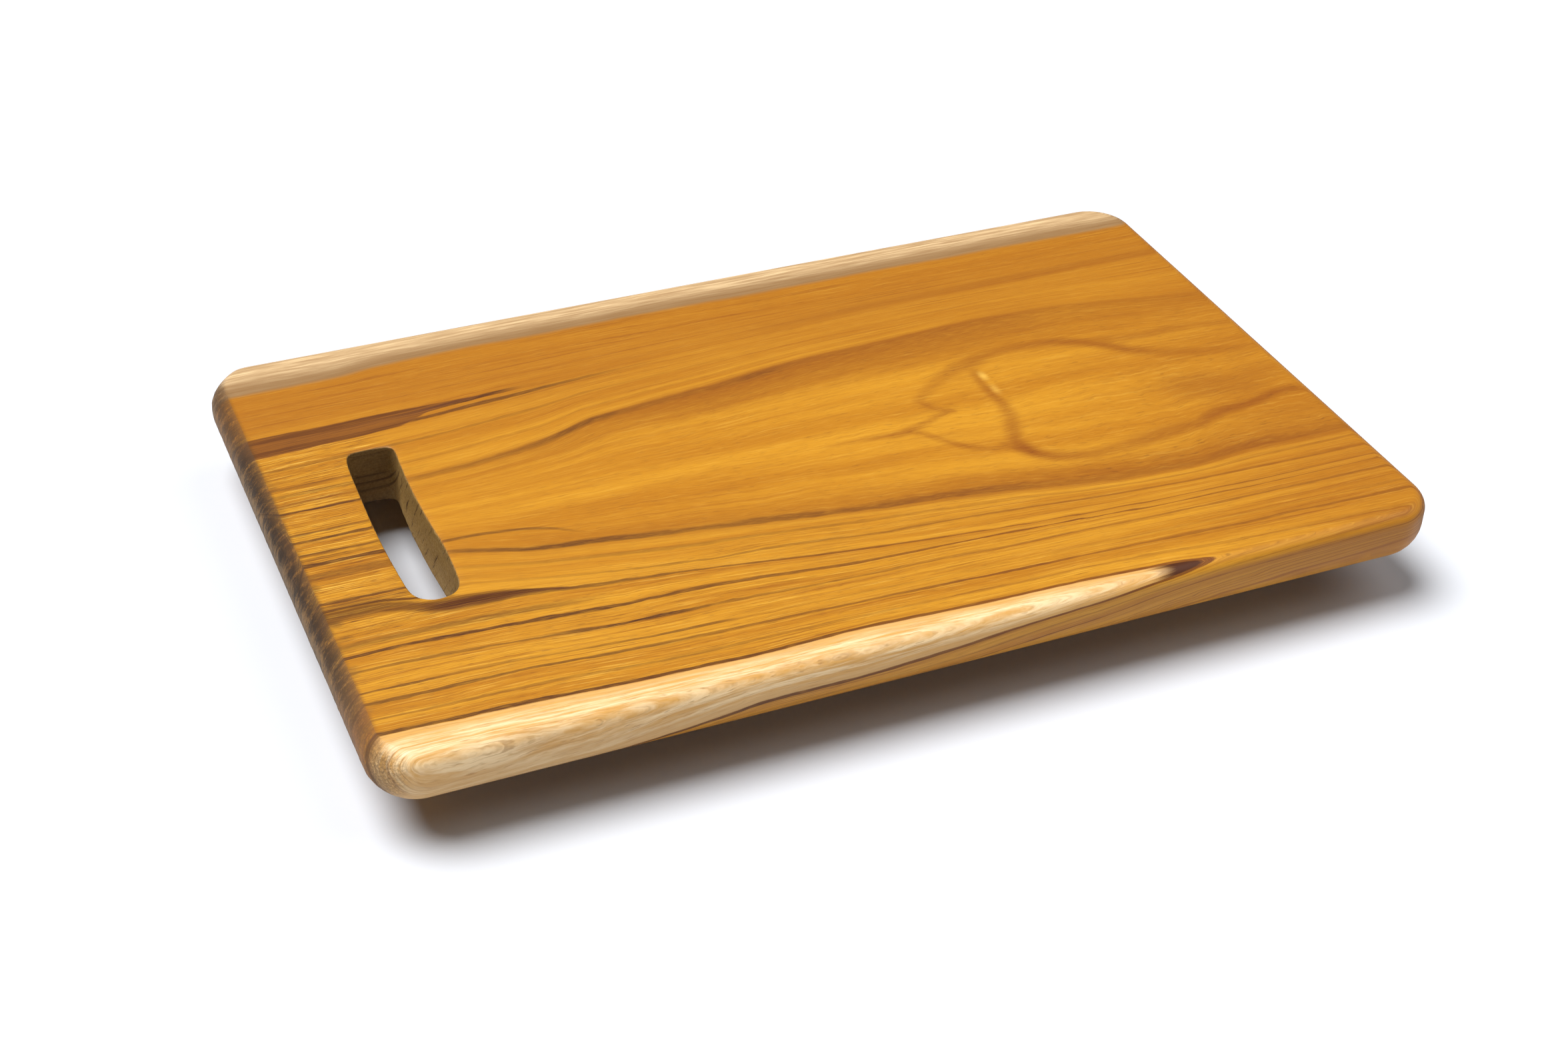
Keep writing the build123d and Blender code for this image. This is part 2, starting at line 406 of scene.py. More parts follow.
def plank_shell():
    """The whole plank. Also returns the arris's vertices and how sharp it is at each of them."""
    shell = Shell()
    rings, kink = add_outer_edge(shell)
    wall_rows = slot_rows()
    slot_rings = [shell.add(row) for row in wall_rows]
    for upper, lower in zip(slot_rings, slot_rings[1:]):
        shell.wall(upper, lower, flip=True)
    pilots = add_pilot_holes(shell)
    vertices = np.array(shell.vertices)

    def top_inside(points):
        edge = np.where(points[:, 0] < -HALF_LENGTH + CORNER_RADIUS,
                        END_ROUND * (1 - math.sin(END_KINK)), TOP_ROUND)
        depth = rounded_inset(points, edge)
        return clear_of(points, depth, [wall_rows[0][:, :2]])

    def underside_inside(points):
        depth = rounded_inset(points, BOTTOM_ROUND)
        holes = [wall_rows[-1][:, :2]] + [vertices[loop][:, :2] for loop in pilots]
        return clear_of(points, depth, holes)

    loops = [rings[0], slot_rings[0]]
    grid, triangles = fill([vertices[l][:, :2] for l in loops], TOP_SPACING, top_inside)
    ids = shell.add(np.column_stack([grid, np.full(len(grid), TOP)]))
    shell.cover(loops, ids, triangles)

    loops = [rings[-1], slot_rings[-1]] + pilots
    grid, triangles = fill([vertices[l][:, :2] for l in loops], UNDERSIDE_SPACING, underside_inside)
    ids = shell.add(np.column_stack([grid, np.full(len(grid), BOTTOM)]))
    shell.cover(loops, ids, triangles, flip=True)
    return shell, rings[0], kink


def hand_sanded(vertices):
    """Lowers the top by slow, shallow waves, as sanding by hand leaves it."""
    share = smoothstep(vertices[:, 2], TOP - WAVE_REACH, TOP)
    for index in np.nonzero(share)[0]:
        x, y, _ = vertices[index]
        slow = noise.noise(Vector((x * 0.016, y * 0.028, 2)))
        quick = noise.noise(Vector((x * 0.05, y * 0.07, 5)))
        wave = slow + 0.35 * quick
        vertices[index, 2] -= share[index] * WAVE_DEPTH * min(1.0, max(0.0, 0.5 + 0.5 * wave))
    return vertices


# ---- Growth rings on the mesh ----
def along_plank(points, x):
    """A value given at points along the plank, smoothed over a few millimetres."""
    px, py = np.array(points, float).T
    shifts = np.linspace(-GRAIN_SMOOTHING, GRAIN_SMOOTHING, 13)
    weights = 1 + np.cos(shifts / GRAIN_SMOOTHING * math.pi) + 0.02
    total = sum(w * np.interp(x + s, px, py) for s, w in zip(shifts, weights))
    return total / weights.sum()


def across_grain(x, y, z):
    """Where the ring through a point would cross the top, and how deep the ring lies if it never does."""
    depth = np.maximum(TOP - z, 0)
    pith = along_plank(PITH, x)
    square = y ** 2 - (2 * pith * depth - depth ** 2)
    across = np.sign(y) * np.sqrt(np.maximum(square, 0))
    deep = pith - np.sqrt(np.maximum(pith ** 2 + np.minimum(square, 0), 0))
    return across, deep


def ring_number(x, across):
    """Turns a place on the top into the ring's number, so that fibres and lines follow the rings."""
    heights = [along_plank(points, x) for _, points in RINGS]
    numbers = [number for number, _ in RINGS]
    ring = numbers[0] + (across - heights[0])
    for low, high, a, b in zip(heights, heights[1:], numbers, numbers[1:]):
        share = (across - low) / (high - low)
        ring = np.where(across >= low, a + np.clip(share, 0, 1) * (b - a), ring)
    return np.where(across > heights[-1], numbers[-1] + across - heights[-1], ring)


def stroke_strength(points):
    """How strongly the soft strokes colour each point: the strongest stroke near it."""
    strength = np.zeros(len(points))
    for stroke in STROKES:
        for first, last in zip(np.array(stroke, float), np.array(stroke[1:], float)):
            along = last[:2] - first[:2]
            share = np.clip(((points - first[:2]) @ along) / (along @ along), 0, 1)
            away = np.linalg.norm(points - first[:2] - share[:, None] * along, axis=1)
            reach, peak = ((first + share[:, None] * (last - first))[:, 2:]).T
            strength = np.maximum(strength, peak * (1 - smoothstep(away / reach, 0.1, 1.3)))
    return strength


def add_grain(mesh, vertices):
    """Stores the ring number, the place across, the depth and the eye's soft strokes on each vertex."""
    x, y, z = vertices.T
    across, deep = across_grain(x, y, z)
    eye = stroke_strength(np.column_stack([x, across])) * smoothstep(-deep, -3, 0)
    values = {"ring": ring_number(x, across), "across": across, "deep": deep, "eye": eye}
    for name, value in values.items():
        layer = mesh.attributes.new(name, "FLOAT", "POINT")
        layer.data.foreach_set("value", value.astype(np.float32))


def plank_surface():
    """The plank that is shown: a closed mesh with an eased, hand-cut slot and worn, sanded faces."""
    shell, arris, kink = plank_shell()
    flat = np.array(shell.vertices, float)
    vertices = hand_sanded(flat.copy())
    mesh = bpy.data.meshes.new("plank_surface")
    mesh.from_pydata((vertices * MM).tolist(), [], [tuple(int(i) for i in f) for f in shell.faces])
    mesh.validate()
    mesh.shade_smooth()
    add_grain(mesh, flat)
    crisp = {int(v) for v, k in zip(arris, kink) if k > END_KINK * 0.5}
    for edge in mesh.edges:
        if edge.vertices[0] in crisp and edge.vertices[1] in crisp:
            edge.use_edge_sharp = True
    piece = bpy.data.objects.new("plank_surface", mesh)
    bpy.context.scene.collection.objects.link(piece)
    return piece


# ---- Material nodes ----
class Nodes:
    """A short way to write a node material."""

    def __init__(self, name):
        self.material = bpy.data.materials.new(name)
        self.material.use_nodes = True
        self.tree = self.material.node_tree
        self.shader = self.tree.nodes["Principled BSDF"]

    def add(self, kind, **settings):
        node = self.tree.nodes.new(kind)
        for key, value in settings.items():
            setattr(node, key, value)
        return node

    def feed(self, socket, value):
        if isinstance(value, bpy.types.NodeSocket):
            self.tree.links.new(value, socket)
        elif isinstance(value, tuple) and len(value) == 3 and socket.type == "RGBA":
            socket.default_value = (*value, 1)
        else:
            socket.default_value = value

    def math(self, operation, a, b=0.0, c=0.0, clamp=False):
        node = self.add("ShaderNodeMath", operation=operation, use_clamp=clamp)
        for socket, value in zip(node.inputs, (a, b, c)):
            self.feed(socket, value)
        return node.outputs[0]

    def times(self, *values):
        out = values[0]
        for value in values[1:]:
            out = self.math("MULTIPLY", out, value)
        return out

    def most(self, *values):
        out = values[0]
        for value in values[1:]:
            out = self.math("MAXIMUM", out, value)
        return out

    def off(self, value, centre=0.0):
        """How far the value is from the centre, either way."""
        return self.math("ABSOLUTE", self.math("SUBTRACT", value, centre))

    def split(self, vector):
        node = self.add("ShaderNodeSeparateXYZ")
        self.feed(node.inputs[0], vector)
        return node.outputs

    def ramp(self, value, low, high, start=0.0, end=1.0):
        """start below low, end above high, smooth between. low may be above high."""
        if low > high:
            low, high, start, end = high, low, end, start
        node = self.add("ShaderNodeMapRange", interpolation_type="SMOOTHSTEP")
        for socket, given in zip(node.inputs, (value, low, high, start, end)):
            self.feed(socket, given)
        return node.outputs[0]

    def vector(self, x, y, z=0.0):
        node = self.add("ShaderNodeCombineXYZ")
        for socket, value in zip(node.inputs, (x, y, z)):
            self.feed(socket, value)
        return node.outputs[0]

    def noise(self, vector, scale=1.0, detail=2.0, roughness=0.5):
        node = self.add("ShaderNodeTexNoise")
        self.feed(node.inputs["Vector"], vector)
        node.inputs["Scale"].default_value = scale
        node.inputs["Detail"].default_value = detail
        node.inputs["Roughness"].default_value = roughness
        return node.outputs["Fac"]

    def mix(self, share, a, b):
        node = self.add("ShaderNodeMix", data_type="RGBA")
        self.feed(node.inputs[0], share)
        self.feed(node.inputs[6], a)
        self.feed(node.inputs[7], b)
        return node.outputs[2]

    def attribute(self, name):
        return self.add("ShaderNodeAttribute", attribute_name=name).outputs["Fac"]

    def curve(self, value, points, low, high):
        """Smooth curve through (input, output) points: input over the plank's length, output low to high."""
        share = self.math("MULTIPLY_ADD", value, 1 / (2 * HALF_LENGTH), 0.5, clamp=True)
        node = self.add("ShaderNodeFloatCurve")
        line = node.mapping.curves[0]
        scaled = [((x + HALF_LENGTH) / (2 * HALF_LENGTH), (y - low) / (high - low)) for x, y in points]
        for index, place in enumerate(scaled):
            if index < 2:
                line.points[index].location = place
            else:
                line.points.new(*place)
        for point in line.points:
            point.handle_type = "AUTO_CLAMPED"
        node.mapping.update()
        self.feed(node.inputs["Value"], share)
        if (low, high) == (0, 1):
            return node.outputs[0]
        return self.math("MULTIPLY_ADD", node.outputs[0], high - low, low)

    def bump(self, height, strength, distance):
        node = self.add("ShaderNodeBump")
        self.feed(node.inputs["Height"], height)
        node.inputs["Strength"].default_value = strength
        node.inputs["Distance"].default_value = distance
        self.feed(self.shader.inputs["Normal"], node.outputs[0])


# ---- Teak ----
# Ring lines: ring number, half width, softness, then (x, strength) along the plank.
RING_LINES = [
    (-109.6, 0.55, 0.5, [(-200, 0.9), (-120, 0.95), (-20, 0.9), (90, 1), (112, 1), (130, 0.2),
                         (200, 0.2)]),
    (-101.8, 0.2, 0.5, [(-200, 0.35), (-80, 0.45), (-40, 0.3), (60, 0.45), (130, 0.3), (200, 0.3)]),
    (-93.4, 0.3, 0.5, [(-200, 0.75), (-120, 0.75), (-70, 0.55), (0, 0.75), (36, 0.95), (60, 0.7),
                       (200, 0.6)]),
    (-87.4, 0.2, 0.4, [(-200, 0.5), (-176, 0.8), (-160, 0.4), (-110, 0.5), (-78, 0.75), (-60, 0.2),
                       (200, 0.25)]),
    (-76, 0.28, 0.45, [(-200, 0.55), (-130, 0.65), (-96, 1), (-80, 0.85), (-50, 0.5), (200, 0.6)]),
    (-67.4, 0.35, 0.5, [(-200, 0.95), (-130, 0.95), (-60, 0.75), (0, 0.8), (60, 0.95), (140, 0.75),
                        (200, 0.6)]),
    (-62, 0.3, 1.6, [(-200, 0.5), (-150, 0.6), (-120, 0.45), (-90, 0), (200, 0)]),
    (-54.9, 0.35, 0.7, [(-200, 0), (-150, 0.25), (-130, 0.7), (-60, 0.7), (10, 0.75), (60, 0.85),
                        (200, 0.6)]),
    (-41, 0.25, 0.9, [(-200, 0.35), (-150, 0.2), (-60, 0.5), (0, 0.55), (120, 0.6), (200, 0.3)]),
    (-37.2, 0.35, 0.5, [(-200, 0.85), (-168, 0.8), (-140, 0.1), (-100, 0), (200, 0)]),
    (-39.6, 0.2, 0.4, [(-200, 0.6), (-168, 0.5), (-140, 0), (200, 0)]),
    (-31, 0.3, 1.0, [(-200, 0), (-120, 0.3), (-60, 0.4), (40, 0.35), (200, 0.3)]),
    (-22, 0.3, 1.2, [(-200, 0.45), (-150, 0.5), (-110, 0.85), (-60, 0.6), (0, 0.7), (55, 0.6),
                     (75, 0.3), (200, 0.2)]),
    (-20.2, 0.5, 1.0, [(-200, 0.55), (-168, 0.45), (-140, 0), (200, 0)]),
    (-13.6, 0.45, 0.6, [(-200, 0.95), (-168, 0.9), (-150, 0.5), (-130, 0), (200, 0)]),
    (-10.4, 0.25, 0.5, [(-200, 0.35), (-168, 0.3), (-140, 0), (200, 0)]),
    (-7.6, 0.3, 0.5, [(-200, 0.75), (-168, 0.6), (-140, 0), (200, 0)]),
    (0.5, 0.35, 0.4, [(-200, 0.9), (-168, 0.85), (-150, 0.2), (-130, 0), (200, 0)]),
    (4.8, 0.3, 0.5, [(-200, 0.7), (-168, 0.5), (-140, 0), (200, 0)]),
    (18.9, 0.3, 0.4, [(-200, 0.95), (-168, 0.9), (-150, 0.3), (-130, 0), (200, 0)]),
    (24, 0.2, 1.8, [(-200, 0.35), (-166, 0.2), (-140, 0.35), (-100, 0.45), (-71, 0.7), (-55, 0.35),
                    (-15, 0.3), (0, 0.6), (12, 0.3), (60, 0.1), (200, 0.08)]),
    (29.8, 0.6, 0.6, [(-200, 0.45), (-168, 0.4), (-140, 0.1), (-110, 0), (200, 0)]),
    (34.5, 0.25, 0.5, [(-200, 0.45), (-168, 0.4), (-140, 0.2), (-80, 0.15), (200, 0)]),
    (47, 0.2, 0.6, [(-200, 0.4), (-160, 0.4), (-100, 0.3), (0, 0.1), (200, 0)]),
    (59.6, 0.5, 0.9, [(-200, 0), (-142, 0), (-130, 0.8), (-90, 0.75), (-60, 0.4), (-20, 0), (200, 0)]),
    (64.3, 0.7, 0.7, [(-200, 0), (-140, 0.5), (-112, 1), (-98, 0.9), (-86, 0.1), (-60, 0), (200, 0)]),
]


class Wood(Nodes):
    """The teak's nodes, with the places, rings and noises that its parts share, in millimetres."""

    def __init__(self, name):
        super().__init__(name)
        coordinates = self.add("ShaderNodeTexCoord")
        place = self.split(coordinates.outputs["Object"])
        facing = self.split(coordinates.outputs["Normal"])
        self.x, self.y, self.z = (self.times(place[i], 1 / MM) for i in range(3))
        self.facing_x, self.facing_z = facing[0], facing[2]
        self.across = self.attribute("across")
        self.deep = self.attribute("deep")
        self.eye = self.attribute("eye")
        self.straight_ring = self.attribute("ring")
        self.ring = self.wandering_ring()
        self.bands = self.grain(0.0035, 0.13, 0.3, 3, 0.55)
        self.lines = self.grain(0.009, 0.55, 0.8, 3, 0.6)
        self.hair = self.grain(0.03, 1.9, 2, 2, 0.6)
        self.fibre = self.grain(0.14, 4.5, 4, 2, 0.6)
        self.striped = self.where_striped()
        pore = self.ramp(self.grain(0.17, 2.9, 2.6, 1, 0.5), 0.63, 0.72)
        self.pore = self.times(pore, self.math("MULTIPLY_ADD", self.striped, 0.9, 0.1))
        self.speckle = self.noise(self.vector(self.times(self.x, 0.9), self.times(self.y, 1.2),
                                              self.times(self.z, 1.2)), 1, 4, 0.75)
        self.end = self.ramp(self.off(self.facing_x), 0.3, 0.72)
        self.in_slot = self.where_slot()

    def wandering_ring(self):
        """The ring number, pushed about a little so that the lines aren't drawn with a ruler."""
        slow = self.vector(self.times(self.x, 0.02), self.times(self.straight_ring, 0.08),
                           self.times(self.deep, 0.1))
        quick = self.vector(self.times(self.x, 0.16), self.times(self.straight_ring, 0.5), self.deep)
        wander, quiver = self.noise(slow, 1, 2), self.noise(quick, 1, 2)
        ring = self.math("ADD", self.straight_ring, self.math("MULTIPLY_ADD", wander, 2.4, -1.2))
        return self.math("ADD", ring, self.math("MULTIPLY_ADD", quiver, 0.7, -0.35))

    def grain(self, along, rings, deep, detail, roughness):
        """Noise that is stretched along the plank and follows its rings."""
        place = self.vector(self.times(self.x, along), self.times(self.ring, rings),
                            self.times(self.deep, deep))
        return self.noise(place, 1, detail, roughness)

    def where_striped(self):
        """Where the fine stripes are strongest: the slot end and the near side."""
        slot_end = self.times(self.ramp(self.x, -138, -160), self.ramp(self.off(self.across), 74, 52))
        near_side = self.times(self.ramp(self.across, -38, -60), self.ramp(self.x, 150, -60, 0.3, 0.55))
        return self.most(slot_end, near_side, 0.2)

    def where_slot(self):
        """The hand slot's walls."""
        beside = self.ramp(self.off(self.x, SLOT_CENTRE_X), 12.5, 11.5)
        return self.times(beside, self.ramp(self.facing_z, 0.8, 0.5), self.ramp(self.off(self.y), 54, 51))


def ring_lines(n):
    """The dark late-wood lines that follow single rings, thicker and thinner along the plank."""
    swell = n.noise(n.vector(n.times(n.x, 0.045), n.times(n.straight_ring, 0.35), 3.0), 1, 2, 0.6)
    swell = n.math("MULTIPLY_ADD", swell, 1.6, -1.0)
    total = 0.0
    for number, half, soft, strengths in RING_LINES:
        distance = n.math("ADD", n.off(n.ring, number), swell)
        line = n.times(n.ramp(distance, half + soft, half), n.curve(n.x, strengths, 0, 1))
        total = n.most(line, total)
    return total


def heart_figure(n):
    """Soft red-brown shading of the arches, of the eye and of the far side."""
    arch_top = n.times(n.ramp(n.ring, 10, 23), n.ramp(n.ring, 29, 24.5))
    strength = [(-200, 0), (-150, 0.1), (-110, 0.35), (-70, 0.6), (0, 1), (40, 1), (90, 0.95), (140, 0.6),
                (200, 0.35)]
    arch_top = n.times(arch_top, n.curve(n.x, strength, 0, 1))
    arch_low = n.times(n.ramp(n.ring, -14, -22), n.ramp(n.ring, -29, -22.5))
    strength = [(-200, 0), (-140, 0.2), (-90, 0.45), (20, 0.6), (110, 0.8), (200, 0.6)]
    arch_low = n.times(arch_low, n.curve(n.x, strength, 0, 1))
    far_side = n.times(n.ramp(n.off(n.ring, 70), 8, 1), n.ramp(n.x, -20, 60), 0.55)
    return n.most(arch_top, arch_low, n.eye, far_side)


def lower_arm(n):
    """The short line that leaves the slot's near half and runs down into the lower arch."""
    path = [(-200, -15), (-146, -16), (-130, -16.8), (-110, -21), (-100, -26.5), (-90, -33), (-84, -36.5),
            (200, -36.5)]
    strength = [(-200, 0), (-148, 0), (-144, 0.7), (-116, 0.65), (-102, 0.3), (-88, 0), (200, 0)]
    distance = n.off(n.across, n.curve(n.x, path, -100, 100))
    return n.times(n.ramp(distance, 1.25, 0.35), n.curve(n.x, strength, 0, 1))


def streak(n):
    """The wide brown streak that comes in from the slot end and splits into fingers."""
    upper = [(-200, 69.4), (-160, 69.3), (-135, 68.6), (-112, 66.2), (-100, 64.6), (200, 64)]
    lower = [(-200, 56.3), (-160, 57), (-140, 57.6), (-132, 60.5), (-124, 63.4), (-100, 64.4), (200, 64.4)]
    above = n.ramp(n.math("SUBTRACT", n.ring, n.curve(n.x, upper, 0, 100)), 0.5, -0.4)
    below = n.ramp(n.math("SUBTRACT", n.ring, n.curve(n.x, lower, 0, 100)), -0.4, 0.6)
    return n.times(above, below, n.ramp(n.x, -98, -108))


def slot_band(n):
    """The dark band that passes the slot's near end: (middle ring, half width, strength) of its streaks."""
    streaks = [
        ([(-200, -46.5), (-180, -45.1), (-170, -46.8), (-158, -51.2), (-149, -51.8), (-132, -52),
          (-122, -53), (-106, -55), (200, -55)],
         [(-200, 3.0), (-170, 3.0), (-158, 3.4), (-149, 3.8), (-139, 3.5), (-131, 2.6), (-122, 1.5),
          (-106, 0.8), (200, 0.5)],
         [(-200, 0.8), (-175, 0.75), (-164, 0.8), (-154, 1), (-124, 1), (-112, 0.6), (-95, 0), (200, 0)]),
        ([(-200, -42.5), (-180, -41.5), (-164, -44), (-140, -48.4), (200, -49)],
         [(-200, 0.8), (-160, 0.8), (-140, 0.6), (200, 0.5)],
         [(-200, 0.9), (-170, 0.9), (-155, 0.7), (-136, 0), (200, 0)]),
    ]
    total = 0.0
    for middle, width, strength in streaks:
        distance = n.off(n.ring, n.curve(n.x, middle, -100, 0))
        band = n.ramp(n.math("DIVIDE", distance, n.curve(n.x, width, 0, 5)), 1.5, 0.5)
        total = n.most(n.times(band, n.curve(n.x, strength, 0, 1)), total)
    return total


def heartwood(n):
    """Gold bands, fine red-brown lines, stripes and fibres."""
    cloud = n.noise(n.vector(n.times(n.x, 0.012), n.times(n.across, 0.02), n.times(n.z, 0.02)), 1, 3, 0.5)
    heart = n.mix(n.ramp(n.bands, 0.34, 0.66), GOLD_DEEP, GOLD_LIGHT)
    heart = n.mix(0.5, heart, GOLD)
    heart = n.mix(n.ramp(cloud, 0.55, 0.75, 0, 0.3), heart, GOLD_LIGHT)
    # Darker towards the right end and the far side: partly painted shade, a falloff of light, and partly the
    # wood's own tone.
    falloff_and_tone = n.most(n.ramp(n.x, 90, 200, 0, 0.6), n.ramp(n.across, 25, 90, 0, 0.75))
    heart = n.mix(falloff_and_tone, heart, GOLD_DEEP)
    outer = n.ramp(n.off(n.across), 40, 75)
    fine = n.times(n.ramp(n.lines, 0.52, 0.72), n.math("MULTIPLY_ADD", outer, 0.45, 0.18))
    heart = n.mix(fine, heart, RED_BROWN)
    heart = n.mix(n.times(n.ramp(n.hair, 0.48, 0.70), n.striped, 0.75), heart, HAIR_BROWN)
    heart = n.mix(n.times(n.ramp(n.hair, 0.45, 0.28), n.striped, 0.8), heart, GOLD_PALE)
    dark_fibre = n.times(n.ramp(n.fibre, 0.5, 0.72), n.math("MULTIPLY_ADD", n.striped, 0.35, 0.12))
    heart = n.mix(dark_fibre, heart, HAIR_BROWN)
    return n.mix(n.ramp(n.fibre, 0.45, 0.25, 0, 0.16), heart, GOLD_PALE)


def healed_check(n):
    """Two small pale marks beside the eye's inner line."""
    upper = n.ramp(n.off(n.across, 15), 5, 0)
    lower = n.ramp(n.off(n.across, 5), 6, 0, 0, 0.6)
    return n.times(n.ramp(n.off(n.x, 82), 2.6, 0), n.most(upper, lower))


def draw_figure(n, heart, drawn):
    """The heartwood with its arches, eye, dark lines, band, streak and pores."""
    figure = n.times(heart_figure(n), n.ramp(n.fibre, 0.3, 0.62, 0.78, 1.05))
    heart = n.mix(n.times(figure, 0.74), heart, RED_BROWN)
    heart = n.mix(n.times(healed_check(n), 0.6), heart, GOLD_PALE)
    heart = n.mix(drawn, heart, n.mix(n.ramp(n.x, -90, 60), LINE_BROWN, HAIR_BROWN))
    band = n.times(slot_band(n), n.ramp(n.hair, 0.3, 0.52, 0.72, 1))
    veins = n.ramp(n.math("MULTIPLY_ADD", n.lines, 0.6, n.times(n.hair, 0.5)), 0.46, 0.62)
    heart = n.mix(band, heart, n.mix(veins, STREAK_BROWN, LINE_BROWN))
    heart = n.mix(n.times(streak(n), 0.93), heart, n.mix(veins, STREAK_LIGHT, STREAK_BROWN))
    return n.mix(n.times(n.pore, 0.7), heart, LINE_BROWN)


def near_sapwood(n, ripple):
    """The cream sapwood of the near edge, with painted shade lower down, brown dashes and the dark wedge
    where it ends.
    """
    dash = n.grain(0.11, 2.0, 1.6, 2, 0.6)
    cream = n.mix(n.ramp(ripple, 0.35, 0.65), SAP_PEACH, SAP_CREAM)
    cream = n.mix(n.ramp(n.ring, -117, -111, 0, 0.85), cream, SAP_PEACH)
    # Painted shade: darker lower down the near edge, where it turns away from the light.
    cream = n.mix(n.ramp(n.z, TOP - 3, TOP - 14, 0, 0.6), cream, SAP_PAINTED_SHADE)
    cream = n.mix(n.ramp(n.hair, 0.48, 0.74, 0, 0.4), cream, SAP_BROWN)
    cream = n.mix(n.ramp(n.fibre, 0.5, 0.72, 0, 0.3), cream, SAP_BROWN)
    cream = n.mix(n.ramp(dash, 0.6, 0.7, 0, 0.6), cream, SAP_BROWN)
    cream = n.mix(n.times(n.pore, 0.5), cream, SAP_BROWN)
    wedge = n.times(n.ramp(n.math("MULTIPLY_ADD", n.lines, 26, n.x), 88, 100), n.ramp(n.x, 150, 112))
    return n.mix(wedge, cream, LINE_BROWN)


def far_sapwood(n, ripple):
    """The greyer sapwood of the far edge, darker where it meets the heartwood."""
    grey = n.mix(n.ramp(ripple, 0.3, 0.9), SAP_GREY, SAP_CREAM)
    return n.mix(n.times(n.ramp(n.ring, 116, 104), 0.85), grey, SAP_SHADE)


def add_sapwood(n, colour):
    """Both sapwood edges, beyond their rings."""
    place = n.vector(n.times(n.x, 0.035), n.times(n.ring, 0.7), n.times(n.z, 0.1))
    ripple = n.noise(place, 1, 4, 0.65)
    colour = n.mix(n.ramp(n.ring, -110.1, -110.9), colour, near_sapwood(n, ripple))
    return n.mix(n.ramp(n.ring, 99.6, 103), colour, far_sapwood(n, ripple))


def add_end_grain(n, colour):
    """Annual rings and open pores on both ends."""
    annual = n.noise(n.vector(1.0, n.times(n.ring, 0.42), 1.0), 1, 3, 0.7)
    colour = n.mix(n.times(n.end, n.ramp(annual, 0.47, 0.62), 0.55), colour, HAIR_BROWN)
    pores = n.mix(n.ramp(n.speckle, 0.35, 0.62), colour, END_GREY)
    return n.mix(n.times(n.end, 0.6), colour, pores)


def add_stain(n, colour):
    """The slot end's brown, greyer towards the near end and lower down, its scorched corner and the black
    along its arris.
    """
    blotch = n.noise(n.vector(n.times(n.x, 0.05), n.times(n.y, 0.09), n.times(n.z, 0.12)), 1, 3, 0.6)
    drip = n.noise(n.vector(n.times(n.x, 0.05), n.times(n.y, 0.33), n.times(n.z, 0.1)), 1, 4, 0.65)
    slot_side = n.ramp(n.x, -192.8, -195.6)
    bleed = n.ramp(n.math("MULTIPLY_ADD", blotch, 26, n.x), -179.5, -185.5)
    strength = [(-200, 0.2), (-118, 0.22), (-104, 0.35), (-85, 0.62), (-50, 0.85), (0, 0.9), (50, 0.9),
                (80, 0.6), (200, 0.6)]
    stained = n.times(n.most(slot_side, n.times(bleed, 0.62)), n.curve(n.y, strength, 0, 1))
    scorch = n.times(slot_side, n.ramp(n.off(n.y, -92), 26, 8))
    colour = n.mix(n.times(scorch, 0.55), colour, RED_BROWN)
    steep = n.ramp(n.facing_x, -0.45, -0.85, 0.62, 1)
    # Greyer towards the near end and lower down the end face.
    greyer_near_and_low = n.most(n.ramp(n.y, -50, -95), n.ramp(n.z, TOP - 2, TOP - 8, 0, 0.8))
    colour = n.mix(n.times(stained, steep, 0.92), colour, n.mix(greyer_near_and_low, END_BROWN, END_TAN))
    patchy = n.math("MULTIPLY_ADD", drip, 0.75, n.times(n.speckle, 0.35))
    patchy = n.math("ADD", patchy, n.ramp(n.z, TOP - 8, TOP - 3, -0.02, 0.11))
    black = n.times(stained, steep, n.ramp(patchy, 0.46, 0.68, 0, 0.95))
    return n.mix(black, colour, END_BLACK)


def add_slot_wall(n, colour):
    """The slot's rough olive walls, with slanting saw marks and painted shade at the far end."""
    slant = n.math("ADD", n.y, n.times(n.z, 0.8))
    gouge = n.noise(n.vector(n.times(slant, 0.5), n.times(n.z, 0.05), 2.0), 1, 3, 0.7)
    wall = n.mix(n.ramp(n.speckle, 0.3, 0.7), SLOT_OLIVE, SLOT_TAN)
    wall = n.mix(n.ramp(gouge, 0.56, 0.66, 0, 0.85), wall, GOUGE_AND_SHADE_BROWN)
    # Painted shade: the slot's far end is darkened as if in shadow.
    wall = n.mix(n.ramp(n.y, 36, 46, 0, 0.5), wall, GOUGE_AND_SHADE_BROWN)
    return n.mix(n.times(n.in_slot, 0.85), colour, wall)


def teak_surface(n, drawn):
    """How rough the wood is, and its fibres, pores and torn end grain in relief."""
    rough = n.math("MULTIPLY_ADD", n.hair, 0.16, 0.36)
    rough = n.math("ADD", rough, n.times(n.most(n.end, n.in_slot), 0.2))
    rough = n.math("ADD", rough, n.times(n.most(drawn, n.pore), 0.1))
    n.feed(n.shader.inputs["Roughness"], rough)
    relief = n.math("SUBTRACT", n.times(n.fibre, 0.5), n.times(n.most(drawn, n.pore), 0.5))
    relief = n.math("ADD", relief, n.times(n.speckle, n.most(n.end, n.in_slot), 2.5))
    n.bump(relief, 0.35, 0.00012)
    n.shader.inputs["Specular IOR Level"].default_value = 0.3


def teak():
    """Oiled teak: rings, fibres and pores that run through the plank, sapwood edges, stained end grain."""
    n = Wood("oiled_teak")
    drawn = n.times(n.most(ring_lines(n), lower_arm(n)), n.ramp(n.fibre, 0.34, 0.56, 0.6, 1))
    colour = draw_figure(n, heartwood(n), drawn)
    colour = add_sapwood(n, colour)
    colour = add_end_grain(n, colour)
    colour = add_stain(n, colour)
    colour = add_slot_wall(n, colour)
    n.feed(n.shader.inputs["Base Color"], colour)
    teak_surface(n, drawn)
    return n.material


